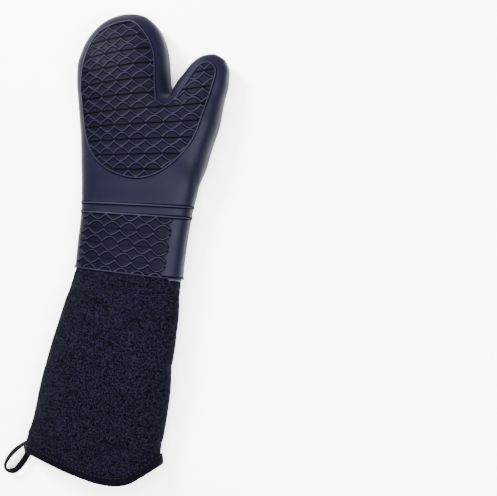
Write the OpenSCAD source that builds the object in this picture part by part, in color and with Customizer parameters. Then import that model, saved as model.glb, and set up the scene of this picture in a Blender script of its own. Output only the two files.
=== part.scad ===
// Long oven mitt for grilling: a moulded silicone hand with a finger pocket and a thumb pocket,
// a quilted liner inside it, and a long padded fabric cuff with a bound hem and a hanging loop.
// It lies on its back, palm up. X points to the thumb side, Y to the finger tips, Z out of the palm.

/* [Silicone] */
// Thickness of the moulded silicone
silicone_wall = 1.8; // [1.2:0.1:2.4]
// Thickness of the quilted liner inside the silicone
liner_wall = 4; // [2.5:0.5:5]

/* [Cuff] */
// Thickness of the cuff's outer fabric
fabric_wall = 1.2; // [0.8:0.1:1.6]
// Thickness of the cuff's wadding
wadding_wall = 3; // [2:0.5:4]
// Thickness of the cuff's inner lining
lining_wall = 1; // [0.8:0.1:1.4]
// Width of the binding folded over the hem
hem_width = 9; // [7:0.5:12]
// Thickness of the binding
binding_wall = 0.8; // [0.5:0.1:1]
// Radius of the bowed hem, seen from above
hem_radius = 180; // [170:2:200]
// Distance from one hem stitch to the next
stitch_pitch = 5; // [4:0.5:8]

/* [Loop] */
// Length of the hanging loop
loop_length = 38; // [34:1:44]
// Width of the hanging loop
loop_width = 20; // [16:1:20]
// Width of the tape that the loop is made of, which stands on its edge
tape_width = 9; // [6:0.5:10]
// Thickness of the doubled tape
tape_wall = 2.6; // [1.6:0.2:3.4]

/* [Folds] */
// Largest bend of the finger pocket
finger_bend = 50; // [20:5:60]
// Largest bend of the thumb pocket
thumb_bend = 50; // [20:5:60]
// Largest bend between the hand and the cuff
cuff_bend = 60; // [20:5:70]
// How far below the palm side the bending lines lie
fold_depth = 9; // [6:1:12]

/* [Hidden] */

// Colours of the silicone, the fabrics and the thread
SILICONE = [0.13, 0.13, 0.20];
LINER = [0.16, 0.16, 0.19];
FABRIC = [0.08, 0.08, 0.15];
WADDING = [0.75, 0.75, 0.72];
TRIM = [0.06, 0.06, 0.10];

// Points round one section, and how square its palm side and its back are
SIDES = 32;
CROWN = 2.7;
BELLY = 3.2;
// How far the back is pressed flat where the mitt lies on it
PRESS = 1.5;
// Least half size of a section at a tip
LEAST = 0.8;
// Gap between neighbouring layers, and half the gap at a fold
GAP = 0.3;
// Larger than the mitt in any direction from a fold
REACH = 300;

// Sections along the hand: place along Y, left edge, right edge, top, widest height, underside
HAND = [
    [-60, -47.5, 88, 46, 22, 0],
    [-30, -45.5, 88.5, 46, 22, 0],
    [5, -43.5, 91, 45, 22, 0],
    [45, -41, 96, 45, 22, 0],
    [75, -42, 102, 47, 22, 0],
    [100, -43.5, 104, 49, 22, 0],
    [130, -45.5, 94, 50, 22, 0],
    [155, -48.5, 80, 51, 22, 0],
    [175, -51, 68.5, 51, 22, 0],
    [190, -53, 63, 51, 22, 0],
    [214, -54, 60, 50, 22, 0],
    [232, -50, 57.5, 47, 22, 1],
    [248, -43, 52.5, 43, 22, 3],
    [260, -34, 45, 39, 22, 7],
    [270, -22.5, 34.5, 34, 22, 11],
    [276, -10, 25, 29, 22, 15],
    [278.5, 0, 16, 26, 22, 18]];
// Sections along the thumb, in the thumb's own frame
THUMB = [
    [-150, -20, 36, 38, 22, 3],
    [-122, -28, 38.5, 44, 22, 0],
    [-100, -32, 39.3, 46, 22, 0],
    [-70, -34, 37.5, 47, 22, 0],
    [-46, -33, 37, 46, 22, 0],
    [-27, -31, 34, 44, 22, 1],
    [-10, -28.5, 31.5, 41, 22, 2],
    [3, -24, 30.3, 39, 22, 3],
    [14, -20.5, 27.5, 37, 22, 5],
    [22, -16, 24, 35, 22, 7],
    [28, -10.5, 18.5, 32, 22, 10],
    [32, -4, 14, 29, 22, 13],
    [34, 1, 9, 26, 22, 17]];
// Sections along the cuff, in the cuff's own frame
CUFF = [
    [-262, -98, 68, 36, 13, 1],
    [-240, -105, 66, 39, 13, 1],
    [-222, -111, 64, 41, 13, 1],
    [-205, -109, 61, 43, 13.5, 1],
    [-185, -105, 62, 46, 15, 1],
    [-145, -99.5, 64, 49, 17, 1],
    [-105, -92, 65, 50, 19, 0.5],
    [-66, -83.5, 65.5, 49, 20.5, 0],
    [-25, -72.5, 65.5, 47, 22, 0],
    [30, -62, 65.5, 46, 22, 0]];

// Fold lines: a point on each, and the turn of the thumb's and the cuff's frames
FINGER_FOLD_Y = HAND[10][0];
THUMB_ORIGIN = [102, 200, 0];
THUMB_TURN = -18;
CUFF_ORIGIN = [21.5, -29, 0];
CUFF_TURN = -3.4;
// Heights of the bending lines, measured from the palm side of the nearest section
FINGER_AXIS_Z = HAND[10][3] - fold_depth;
THUMB_AXIS_Z = THUMB[7][3] - fold_depth;
CUFF_AXIS_Z = CUFF[9][3] - fold_depth;
// Sideways reach of each fold, so that the finger and thumb folds stay apart
FINGER_FOLD_X = [-80, 68];
THUMB_FOLD_X = [-33, 60];

// Depths of the layers below the outside of the mitt
LINER_OUT = silicone_wall + GAP;
LINER_IN = LINER_OUT + liner_wall;
WADDING_OUT = fabric_wall + GAP / 2;
WADDING_IN = WADDING_OUT + wadding_wall;
LINING_OUT = WADDING_IN + GAP / 2;
LINING_IN = LINING_OUT + lining_wall;
// Half the gap between the front and the back half of a layer
HALF_GAP = 0.1;

// The hem's lowest point in the cuff's frame, and the centre of its bow
HEM_LOWEST = [-30, -249];
HEM_CENTRE = [HEM_LOWEST[0], HEM_LOWEST[1] + hem_radius];
// How far the fabric stops short of the binding's fold, and the facets of the bow
HEM_TRIM = 0.6;
HEM_SIDES = 144;

// Hem stitches: thread radius, length, height over the fabric, inset of the row, and its two ends
THREAD_R = 0.4;
STITCH_LENGTH = 3.2;
STITCH_LIFT = THREAD_R + binding_wall + GAP;
STITCH_INSET = hem_width - 1.4;
STITCH_ENDS = [-86, 38];

// Hanging loop: its pivot, the way it points, and its lower edge
LOOP_PIVOT = [-112.2, -252];
LOOP_TURN = -122;
LOOP_FLOOR = 5;
// Bar tack over the hem's end: place in the cuff's frame, height over the fabric, size and turn
TACK_PLACE = [-103.5, -226.5];
TACK_LIFT = STITCH_LIFT + 1.6;
TACK_SIZE = [1.8, 9, 1.2];
TACK_TURN = 6;

function mix(a, b, t) = a + (b - a) * t;
function sign_power(v, p) = sign(v) * pow(abs(v), p);

// One section: a flattened oval, inset all round by the depth of a layer
function section(s, depth) =
    let (middle = (s[1] + s[2]) / 2,
        half = max(LEAST, (s[2] - s[1]) / 2 - depth),
        up = max(LEAST, s[3] - s[4] - depth),
        down = max(LEAST, s[4] - s[5] + PRESS - depth),
        low = min(s[4] - LEAST, s[5] + depth))
    [for (i = [0:SIDES - 1])
        let (a = 360 * i / SIDES,
            above = sin(a) >= 0,
            power = 2 / (above ? CROWN : BELLY))
        [middle + half * sign_power(cos(a), power), s[0] - depth,
            max(low, s[4] + (above ? up : down) * sign_power(sin(a), power))]];

// Side faces and end caps between two sections that follow each other
RING_FACES = concat(
    [[for (i = [0:SIDES - 1]) i]],
    [[for (i = [SIDES - 1:-1:0]) SIDES + i]],
    [for (i = [0:SIDES - 1]) [i, SIDES + i, (i + 1) % SIDES]],
    [for (i = [0:SIDES - 1]) [(i + 1) % SIDES, SIDES + i, SIDES + (i + 1) % SIDES]]);

module loft(sections, depth)
    for (i = [0:len(sections) - 2])
        hull()
            polyhedron(concat(section(sections[i], depth), section(sections[i + 1], depth)), RING_FACES);

module thumb_frame() translate(THUMB_ORIGIN) rotate([0, 0, THUMB_TURN]) children();
module cuff_frame() translate(CUFF_ORIGIN) rotate([0, 0, CUFF_TURN]) children();

// The whole hand, fingers and thumb, down to a depth below the outside
module hand_form(depth) {
    loft(HAND, depth);
    thumb_frame() loft(THUMB, depth);
}

// A layer of the hand between two depths
module hand_layer(outer, inner)
    difference() {
        hand_form(outer);
        hand_form(inner);
    }

// Everything beyond a fold line along X, whose face leans away above the bending axis
module beyond(start, lean, axis_z, span)
    translate([span[0], 0, axis_z]) rotate([90, 0, 90])
        linear_extrude(span[1] - span[0])
            polygon([[start, -REACH], [REACH, -REACH], [REACH, REACH],
                [start + tan(lean) * REACH, REACH], [start, 0]]);

module beyond_fingers(start, lean)
    translate([0, FINGER_FOLD_Y, 0]) beyond(start, lean, FINGER_AXIS_Z, FINGER_FOLD_X);

module beyond_thumb(start, lean)
    thumb_frame() beyond(start, lean, THUMB_AXIS_Z, THUMB_FOLD_X);

// The cuff's side of its fold is the side towards -Y
module beyond_cuff(start, lean)
    cuff_frame() rotate([0, 0, 180]) beyond(start, lean, CUFF_AXIS_Z, [-REACH, REACH]);

// Whatever lies above or below the height at which the mitt is widest
module half_space(front)
    translate([-REACH, -REACH, front ? HAND[0][4] + HALF_GAP : HAND[0][4] - HALF_GAP - REACH])
        cube([2 * REACH, 2 * REACH, REACH]);

module palm_section()
    difference() {
        children();
        beyond_fingers(-GAP, -finger_bend / 2);
        beyond_thumb(-GAP, -thumb_bend / 2);
        beyond_cuff(-GAP, -cuff_bend / 2);
    }

module fingertip_section()
    intersection() {
        children();
        beyond_fingers(GAP, finger_bend / 2);
    }

module thumb_tip_section()
    intersection() {
        children();
        beyond_thumb(GAP, thumb_bend / 2);
    }

module silicone_shell_palm()
    color(SILICONE) palm_section() hand_layer(0, silicone_wall);

module silicone_shell_fingertips()
    color(SILICONE) fingertip_section() hand_layer(0, silicone_wall);

module silicone_shell_thumb_tip()
    color(SILICONE) thumb_tip_section() hand_layer(0, silicone_wall);

module hand_liner(front)
    intersection() {
        hand_layer(LINER_OUT, LINER_IN);
        half_space(front);
    }

module palm_liner_front() color(LINER) palm_section() hand_liner(true);
module palm_liner_back() color(LINER) palm_section() hand_liner(false);
module fingertip_liner_front() color(LINER) fingertip_section() hand_liner(true);
module fingertip_liner_back() color(LINER) fingertip_section() hand_liner(false);
module thumb_tip_liner_front() color(LINER) thumb_tip_section() hand_liner(true);
module thumb_tip_liner_back() color(LINER) thumb_tip_section() hand_liner(false);

// A disc, seen from above, that cuts the sleeve to the bow of its hem
module hem_disc(radius)
    translate([HEM_CENTRE[0], HEM_CENTRE[1], -REACH])
        cylinder(h = 2 * REACH, r = radius, $fn = HEM_SIDES);

module cuff_layer(outer, inner)
    difference() {
        loft(CUFF, outer);
        loft(CUFF, inner);
    }

// Above or below the cuff's side seams, which drop from the wrist to the hem
module cuff_half(front)
    rotate([90, 0, 90]) translate([0, 0, -REACH])
        linear_extrude(2 * REACH)
            polygon(concat(
                [for (s = CUFF) [s[0], s[4] + (front ? HALF_GAP : -HALF_GAP)]],
                front ? [[REACH, REACH], [-REACH, REACH]] : [[REACH, -REACH], [-REACH, -REACH]]));

module cuff_panel(front, outer, inner)
    intersection() {
        beyond_cuff(GAP, cuff_bend / 2);
        cuff_frame() intersection() {
            cuff_layer(outer, inner);
            cuff_half(front);
            hem_disc(hem_radius - HEM_TRIM);
        }
    }

module cuff_front_panel() color(FABRIC) cuff_panel(true, 0, fabric_wall);
module cuff_back_panel() color(FABRIC) cuff_panel(false, 0, fabric_wall);
module cuff_front_wadding() color(WADDING) cuff_panel(true, WADDING_OUT, WADDING_IN);
module cuff_back_wadding() color(WADDING) cuff_panel(false, WADDING_OUT, WADDING_IN);
module cuff_front_lining() color(LINER) cuff_panel(true, LINING_OUT, LINING_IN);
module cuff_back_lining() color(LINER) cuff_panel(false, LINING_OUT, LINING_IN);

// A strip folded over the edge of the sleeve, inside and out
module hem_binding()
    color(TRIM) cuff_frame()
        difference() {
            intersection() {
                cuff_layer(-binding_wall - HALF_GAP, LINING_IN + binding_wall + HALF_GAP);
                hem_disc(hem_radius + binding_wall);
            }
            hem_disc(hem_radius - hem_width);
            intersection() {
                cuff_layer(-HALF_GAP, LINING_IN + HALF_GAP);
                hem_disc(hem_radius - HEM_TRIM + HALF_GAP);
            }
        }

// Height of the cuff's upper surface over a point in the cuff's frame
function cuff_section_at(y) =
    let (i = max([for (k = [0:len(CUFF) - 2]) CUFF[k][0] <= y ? k : 0]),
        t = (y - CUFF[i][0]) / (CUFF[i + 1][0] - CUFF[i][0]))
    [for (k = [0:5]) mix(CUFF[i][k], CUFF[i + 1][k], t)];

function cuff_top(x, y) =
    let (s = cuff_section_at(y),
        half = (s[2] - s[1]) / 2,
        u = min(1, abs(x - (s[1] + s[2]) / 2) / half))
    s[4] + (s[3] - s[4]) * pow(1 - pow(u, CROWN), 1 / CROWN);

// Points of the stitched row, across the cuff
function hem_row(x) =
    let (radius = hem_radius - STITCH_INSET,
        y = HEM_CENTRE[1] - sqrt(radius * radius - pow(x - HEM_CENTRE[0], 2)))
    [x, y, cuff_top(x, y) + STITCH_LIFT];

module thread(a, b) {
    along = b - a;
    translate(a)
        rotate([0, acos(along[2] / norm(along)), atan2(along[1], along[0])])
            cylinder(h = norm(along), r = THREAD_R, $fn = 24);
}

module hem_stitches()
    color(TRIM) cuff_frame()
        for (x = [STITCH_ENDS[0]:stitch_pitch:STITCH_ENDS[1]])
            thread(hem_row(x), hem_row(x + STITCH_LENGTH));

// A closed loop of tape on its edge; its near end is round about the pivot, so it swings freely
module hanging_loop() {
    half = loop_width / 2;
    span = loop_length - loop_width;
    color(TRIM)
        translate([LOOP_PIVOT[0], LOOP_PIVOT[1], LOOP_FLOOR]) rotate([0, 0, LOOP_TURN])
            difference() {
                loop_outline(half, span, tape_width, 0);
                loop_outline(half - tape_wall, span, tape_width, 1);
            }
}

// A slot shape with round ends, extruded; extra makes a cutter that runs past both faces
module loop_outline(radius, span, height, extra) {
    for (x = [0, span])
        translate([x, 0, -extra]) cylinder(h = height + 2 * extra, r = radius, $fn = 64);
    translate([0, -radius, -extra]) cube([span, 2 * radius, height + 2 * extra]);
}

// A short dense bar of thread where the loop's ends are sewn into the hem
module loop_bar_tack()
    color(TRIM) cuff_frame()
        translate([TACK_PLACE[0], TACK_PLACE[1],
            cuff_top(TACK_PLACE[0], TACK_PLACE[1]) + TACK_LIFT])
            rotate([0, 0, TACK_TURN])
                cube(TACK_SIZE, center = true);

silicone_shell_palm();
silicone_shell_fingertips();
silicone_shell_thumb_tip();
palm_liner_front();
palm_liner_back();
fingertip_liner_front();
fingertip_liner_back();
thumb_tip_liner_front();
thumb_tip_liner_back();
cuff_front_panel();
cuff_back_panel();
cuff_front_wadding();
cuff_back_wadding();
cuff_front_lining();
cuff_back_lining();
hem_binding();
hem_stitches();
hanging_loop();
loop_bar_tack();
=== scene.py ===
import bpy
import numpy as np
from mathutils import Matrix, Vector


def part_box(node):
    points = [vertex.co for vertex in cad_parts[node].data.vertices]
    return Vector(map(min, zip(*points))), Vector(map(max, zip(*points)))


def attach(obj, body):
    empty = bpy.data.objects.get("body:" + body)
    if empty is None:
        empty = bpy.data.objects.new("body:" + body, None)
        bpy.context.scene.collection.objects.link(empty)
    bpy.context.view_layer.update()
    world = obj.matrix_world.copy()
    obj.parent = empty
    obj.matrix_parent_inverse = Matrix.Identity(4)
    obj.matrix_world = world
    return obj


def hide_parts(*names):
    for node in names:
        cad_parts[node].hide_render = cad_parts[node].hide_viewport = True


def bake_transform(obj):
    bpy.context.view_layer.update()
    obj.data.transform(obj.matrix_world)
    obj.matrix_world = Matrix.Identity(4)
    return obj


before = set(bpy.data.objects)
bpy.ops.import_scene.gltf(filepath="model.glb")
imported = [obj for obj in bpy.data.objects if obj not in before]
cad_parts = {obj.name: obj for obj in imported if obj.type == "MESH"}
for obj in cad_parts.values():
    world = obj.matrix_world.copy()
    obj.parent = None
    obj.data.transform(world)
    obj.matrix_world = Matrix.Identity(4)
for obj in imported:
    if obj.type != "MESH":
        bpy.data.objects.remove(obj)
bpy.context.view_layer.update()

MM = 0.001

# Sections, close to the CAD's: place along, left edge, right edge, top, widest height, underside
HAND = (
    (-60, -47.5, 88, 46, 22, 0), (-30, -45.5, 88.5, 46, 22, 0), (5, -43.5, 91, 45, 22, 0),
    (45, -41, 96, 45, 22, 0), (75, -42, 102, 47, 22, 0), (100, -43.5, 104, 49, 22, 0),
    (130, -45.5, 104, 50, 22, 0), (155, -48.5, 96, 51, 22, 0), (175, -51, 76, 51, 22, 0),
    (183, -52, 65.5, 51, 22, 0), (190, -53, 63, 51, 22, 0), (214, -54, 60, 50, 22, 0),
    (232, -50, 57.5, 47, 22, 1), (248, -43, 52.5, 43, 22, 3), (260, -34, 46, 39, 22, 7),
    (270, -22.5, 36.5, 34, 22, 11), (276, -10, 27.5, 29, 22, 15), (278.5, 0, 18, 26, 22, 18),
    (279.2, 9, 9, 22, 22, 22))
THUMB = (
    (-150, -20, 36, 45, 22, 3), (-122, -28, 38.5, 46.5, 22, 0), (-100, -32, 39.3, 47, 22, 0),
    (-70, -34, 37.5, 47, 22, 0), (-46, -33, 37, 46, 22, 0), (-27, -31, 34, 44, 22, 1),
    (-10, -28.5, 31.5, 41, 22, 2), (3, -24, 30.3, 39, 22, 3), (14, -20.5, 27.5, 37, 22, 5),
    (22, -16, 25, 35, 22, 7), (28, -10.5, 20.5, 32, 22, 10), (32, -4, 16, 29, 22, 13),
    (34, 1, 9, 26, 22, 17), (34.5, 5, 5, 22, 22, 22))
CUFF = (
    (-262, -98, 68, 36, 13, 1), (-240, -105, 66, 39, 13, 1), (-222, -111, 64, 41, 13, 1),
    (-205, -107.5, 61, 43, 13.5, 1), (-185, -102.6, 62, 46, 15, 1), (-145, -95.4, 64, 49, 17, 1),
    (-105, -87.8, 65, 50, 19, 0.5), (-66, -79.4, 65.5, 49, 20.5, 0), (-25, -70.7, 65.5, 47, 22, 0),
    (30, -62, 65.5, 46, 22, 0))
THUMB_ORIGIN, THUMB_TURN = (102, 200), -18
CUFF_ORIGIN, CUFF_TURN = (21.5, -29), -3.4
# How square the palm side and the back are, how far the back is pressed flat, and the widest height
CROWN, BELLY, PRESS = 2.7, 3.2, 1.5
MID = 22.0
# How sharply the two pockets join, and where the thumb's form fades into the wrist along its axis
JOIN, THUMB_FADE = 4.0, (-152, -88)
# Where along the hand the pockets part is looked for, and where across it the right edge is
CROTCH_RANGE, SCAN_END = (150, 200), 150

# Depths below the outside of the mitt
SILICONE_WALL = 1.8
LINER_OUT, LINER_IN = 2.1, 6.1
LINING_OUT, LINING_IN = 4.3, 5.4
# The padded fabric's own thickness, and how far its creases may sink towards the lining
PAD, SINK_LIMIT = 2.6, 1.4


# ---- curves and sections

def smooth(a, b, x):
    t = np.clip((x - a) / (b - a), 0, 1)
    return t * t * (3 - 2 * t)


def pchip(x, y, q):
    """A smooth curve through the points that never swings past them."""
    h, d = np.diff(x), np.diff(y) / np.diff(x)
    m = np.concatenate([d[:1], np.zeros(len(x) - 2), d[-1:]])
    for i in range(1, len(x) - 1):
        if d[i - 1] * d[i] > 0:
            a, b = 2 * h[i] + h[i - 1], h[i] + 2 * h[i - 1]
            m[i] = (a + b) / (a / d[i - 1] + b / d[i])
    k = np.clip(np.searchsorted(x, q) - 1, 0, len(x) - 2)
    t = (q - x[k]) / h[k]
    return ((1 + 2 * t) * (1 - t) ** 2 * y[k] + t * (1 - t) ** 2 * h[k] * m[k]
            + t * t * (3 - 2 * t) * y[k + 1] + t * t * (t - 1) * h[k] * m[k + 1])


class Lobe:
    """A soft pocket lofted through sections, in its own frame, down to a depth below the outside."""

    def __init__(self, stations, origin=(0, 0), turn=0.0, depth=0.0):
        a = np.array(stations, float)
        self.origin = origin
        self.c, self.s = np.cos(np.radians(turn)), np.sin(np.radians(turn))
        width = (a[:, 2] - a[:, 1]) / 2
        step = np.sqrt(np.diff(a[:, 0]) ** 2 + np.diff(width) ** 2 + (np.diff(a[:, 3]) / 2) ** 2)
        p = np.concatenate([[0], np.cumsum(step)])
        self.length = p[-1]
        self.p = np.linspace(0, p[-1], 6001)
        self.table = np.stack([pchip(p, a[:, k], self.p) for k in range(6)], 1)
        # the inner layers stop short of the tip
        self.table[:, 0] -= depth * smooth(0, 0.8 * p[-1], self.p)
        self.depth = depth

    def local(self, x, y):
        dx, dy = x - self.origin[0], y - self.origin[1]
        return self.c * dx + self.s * dy, -self.s * dx + self.c * dy

    def world(self, lat, along):
        return (self.origin[0] + self.c * lat - self.s * along,
                self.origin[1] + self.s * lat + self.c * along)

    def at(self, along):
        l, r, top, mid, floor = [np.interp(along, self.table[:, 0], self.table[:, k])
                                 for k in range(1, 6)]
        d = self.depth
        half = np.maximum((r - l) / 2 - d, 1e-3)
        centre = (l + r) / 2
        return centre - half, centre + half, np.maximum(top - d, mid), mid, np.minimum(floor + d, mid)

    def fullness(self, x, y, power):
        """1 over the middle of the pocket, 0 at its edge and outside it."""
        lat, along = self.local(x, y)
        l, r, top, _, floor = self.at(along)
        u = np.clip(np.abs(lat - (l + r) / 2) / ((r - l) / 2), 0, 1)
        f = (1 - u ** power) ** (1 / power)
        beyond = (along > self.table[-1, 0]) | (along < self.table[0, 0])
        return np.where(beyond, 0.0, f), along, top, floor


class Hand:
    """The two pockets joined: heights over the plan, and the crotch where their edges meet."""

    def __init__(self, depth):
        self.hand = Lobe(HAND, depth=depth)
        self.thumb = Lobe(THUMB, THUMB_ORIGIN, THUMB_TURN, depth)
        y = np.linspace(*CROTCH_RANGE, 8001)
        x = self.hand.at(y)[1]
        lat, along = self.thumb.local(x, y)
        i = np.argmax(lat - self.thumb.at(along)[0] < 0)
        self.cx, self.cy = x[i], y[i]
        self.cs = along[i]
        self.depth = depth

    def join(self, x, y, power):
        """Fullness of the two pockets together, and each one's share."""
        a, _, top_a, floor_a = self.hand.fullness(x, y, power)
        b, along, top_b, floor_b = self.thumb.fullness(x, y, power)
        b = b * smooth(*THUMB_FADE, along)
        both = (a ** JOIN + b ** JOIN - (a * b) ** JOIN) ** (1 / JOIN)
        wa, wb = a ** JOIN + 1e-9, b ** JOIN + 1e-9
        top = (top_a * wa + top_b * wb) / (wa + wb)
        return both, top, (floor_a * wa + floor_b * wb) / (wa + wb)

    def z(self, x, y, side):
        full, top, floor = self.join(x, y, CROWN if side > 0 else BELLY)
        if side > 0:
            return MID + (top - MID) * full
        return np.maximum(MID - (MID - floor + PRESS) * full, floor)

    def inside(self, x, y):
        return self.join(x, y, CROWN)[0] > 1e-6


# Rows across the palm: level in the hand, turned to the cuff's seam below, and bent to the thumb's
# cross direction on the thumb's side of the crotch
SEAM_Y, SEAM_TILT = -25.0, 0.0594
ROW_TILT = ((SEAM_Y, SEAM_TILT), (41, 0.022), (52, 0.008), (80, 0.0))
TILT_X = -45
BEND_FROM, BEND_TO = 60, 150
# Share of the points that a steep wall gets, against a level face
WALL_SHARE = 0.42


def row_y(form, x, level):
    tilt = np.interp(level, [a for a, _ in ROW_TILT], [b for _, b in ROW_TILT])
    bend = np.tan(np.radians(-THUMB_TURN)) * smooth(BEND_FROM, BEND_TO, level)
    return level - tilt * (x - TILT_X) - bend * np.maximum(0, x - form.cx)


def spread(x, y, z, count):
    """count + 1 places along a profile, closer on its face than on its walls, as point numbers."""
    ds = np.sqrt(np.diff(x) ** 2 + np.diff(y) ** 2 + np.diff(z) ** 2) + 1e-12
    face = np.sqrt(np.diff(x) ** 2 + np.diff(y) ** 2) / ds
    w = np.concatenate([[0], np.cumsum(ds * (WALL_SHARE + (1 - WALL_SHARE) * face))])
    return np.interp(np.linspace(0, w[-1], count + 1), w, np.arange(len(w)))


def pick(k, *lines):
    """The lines' values at point numbers k, as points."""
    return np.stack([np.interp(k, np.arange(len(a)), a) for a in lines], 1)


DENSE = (1 - np.cos(np.pi * np.linspace(0, 1, 500))) / 2


def palm_rows(form, side, levels, n_left, n_right):
    """Two grids of points: from the left edge to the crotch's line, and on to the right edge."""
    left, right = [], []
    for level in levels:
        y = level
        for _ in range(4):
            x0 = form.hand.at(y)[0]
            y = row_y(form, x0, level)
        scan = np.linspace(form.cx + 0.5, SCAN_END, 600)
        ok = np.nonzero(form.inside(scan, row_y(form, scan, level)))[0]
        a, b = scan[ok[-1]], scan[ok[-1]] + 1
        for _ in range(30):
            m = (a + b) / 2
            a, b = (m, b) if form.inside(m, row_y(form, m, level)) else (a, m)
        for grid, lo, hi, n in ((left, x0, form.cx, n_left), (right, form.cx, a, n_right)):
            x = lo + (hi - lo) * DENSE
            yy = row_y(form, x, level)
            z = form.z(x, yy, side)
            z[0 if grid is left else -1] = MID
            k = spread(x, yy, z, n)
            grid.append(pick(k, x, yy, z))
    left, right = np.array(left), np.array(right)
    if abs(levels[-1] - form.cy) < 1e-9:
        left[-1, -1, 2] = right[-1, 0, 2] = MID
    return left, right


def pocket_rows(form, lobe, side, first, step, count):
    """One pocket from its open end to its tip, as a grid of points."""
    start = np.interp(first, lobe.table[:, 0], lobe.p)
    n = max(4, int(round((lobe.length - start) / step)))
    alongs = np.interp(np.linspace(start, lobe.length, n + 1), lobe.p, lobe.table[:, 0])
    out = []
    for along in alongs:
        l, r, *_ = lobe.at(along)
        lat = l + (r - l) * DENSE
        x, y = lobe.world(lat, along)
        z = form.z(x, y, side)
        z[0] = z[-1] = MID
        k = spread(x, y, z, count)
        out.append(pick(k, x, y, z))
    out[-1][:] = out[-1].mean(0)
    return np.array(out)


# ---- the moulded grip

# The bead round the grip, anticlockwise from the finger tip
BEAD = (
    (9, 268), (-9, 263), (-24, 254), (-34, 237), (-40, 214), (-41, 189), (-38, 164.5), (-33, 135),
    (-24.5, 113), (-9, 97), (11, 87.5), (35, 83.5), (57.5, 89), (78, 103), (93.5, 120), (103, 138),
    (109.5, 160), (115.5, 183), (120.5, 207), (117, 216.5), (109, 220), (99, 215), (87, 196),
    (77, 180), (69, 170.5), (60.5, 169.5), (53, 176.5), (49.5, 197), (47, 224), (41, 242),
    (30.5, 256), (19.5, 265.5))
BEAD_WIDTH = 1.0
# Each lattice: a place that its lines are measured from, their pitch, a column's width, and how high
# its straight lines stand
GRIP_X, GRIP_Y, GRIP_PITCH, GRIP_COLUMN, GRIP_LINES = 20, 92.6, 17.49, 19.5, 0.42
WRIST_X, WRIST_Y, WRIST_PITCH, WRIST_COLUMN, WRIST_LINES = 20, 23.0, 17.95, 20.6, 0.19
# Where the waves of the hand's lattice are nearest to its lines
GRIP_COLUMNS = (-65, -47, -29.5, -12, 5.7, 24.6, 44.1, 64.6, 85.8, 107.5, 130)
# The hand's lines: tilt, bow and drop on the thumb, and how much each grows along the hand
LINE_TILT, LINE_BOW, LINE_DROP = 0.0391, 7e-4, 0.156
FAN_TILT, FAN_BOW, FAN_DROP = 0.0008, 7e-6, 0.0012
BOW_END, BOW_SLOPE, DROP_START = 25, 10, 50
# The wrist's lines and columns: tilt at the top, growth downwards, left column, and its lean
WRIST_TOP, WRIST_TILT, WRIST_FAN = 40.95, 0.0215, 0.00095
WRIST_LEFT, WRIST_LEAN, LEAN_Y = -24.3, 0.117, 23.7
# The wrist patch fades out over its left, right, upper and lower edges: its ridges, and its matt ground
RIDGE_EDGES = ((-0.56, -0.5), (4.85, 5.02), (0.9, 0.97), (-2.86, -2.8))
GROUND_EDGES = ((-0.4, 0), (4.7, 5), (0.85, 0.95), (-2.9, -2.8))
GROUND = 0.1
# A wave's farthest and nearest place from its line, and the widths of line and wave
WAVE_REACH, WAVE_GAP = 7.8, 1.6
LINE_WIDTH, WAVE_WIDTH = 0.58, 0.92
# Ribs: place along the hand and tilt, and how high they stand on the side walls
RIBS = ((52.8, 0.008), (42.0, 0.022))
RIB_X, RIB_WIDTH, RIB_ON_WALL = -40, 1.15, 0.45
# The rim's height, where its edge ends, and how much of its painted highlight and rubbed paleness is held
# back
RIM_HEIGHT, RIM_EDGE, RIM_LIGHTENING_CAP = 1.15, (1.4, 2.6), 0.28


def curve_span(a, b, c, d, per):
    """Points of a smooth curve from b towards c."""
    return [0.5 * (2 * b + (c - a) * t + (2 * a - 5 * b + 4 * c - d) * t * t
                   + (3 * b - a - 3 * c + d) * t ** 3) for t in np.arange(per) / per]


def closed_curve(points, per):
    p = np.array(points, float)
    out = []
    for i in range(len(p)):
        out += curve_span(p[i - 1], p[i], p[(i + 1) % len(p)], p[(i + 2) % len(p)], per)
    return np.array(out)


def signed_distance(x, y, loop):
    """Distance to a closed curve, positive inside it."""
    a, b = loop, np.roll(loop, -1, 0)
    best = np.full(x.shape, 1e9)
    odd = np.zeros(x.shape, bool)
    for p, q in zip(a, b):
        d = q - p
        t = np.clip(((x - p[0]) * d[0] + (y - p[1]) * d[1]) / (d @ d), 0, 1)
        best = np.minimum(best, (x - p[0] - t * d[0]) ** 2 + (y - p[1] - t * d[1]) ** 2)
        cross = (p[1] > y) != (q[1] > y)
        if p[1] != q[1]:
            odd ^= cross & (x < p[0] + (y - p[1]) / (q[1] - p[1]) * d[0])
    return np.where(odd, 1, -1) * np.sqrt(best)


def ridge(distance, width):
    return np.exp(-(distance / width) ** 2)


def lattice(u, v, pitch, column, line_share):
    """Straight ridges at whole v, with a wave above and below each, nearest to it at whole u."""
    t = u - np.floor(u)
    f = v - np.floor(v)
    rise = WAVE_REACH - WAVE_GAP
    wave = WAVE_GAP + rise * np.sin(np.pi * t)
    slope = rise * np.pi / column * np.cos(np.pi * t)
    lean = np.sqrt(1 + slope ** 2)
    up, down = f * pitch, (1 - f) * pitch
    lines = ridge(np.minimum(up, down), LINE_WIDTH) * line_share
    waves = np.maximum(ridge((up - wave) / lean, WAVE_WIDTH), ridge((down - wave) / lean, WAVE_WIDTH))
    return np.maximum(lines, waves)


BEAD_LOOP = closed_curve(BEAD, 10)


def patch(u, v, edges):
    """1 over the wrist's patch, 0 outside it."""
    left, right, upper, lower = edges
    return smooth(*left, u) * (1 - smooth(*right, u)) * (1 - smooth(*upper, v)) * smooth(*lower, v)


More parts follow.
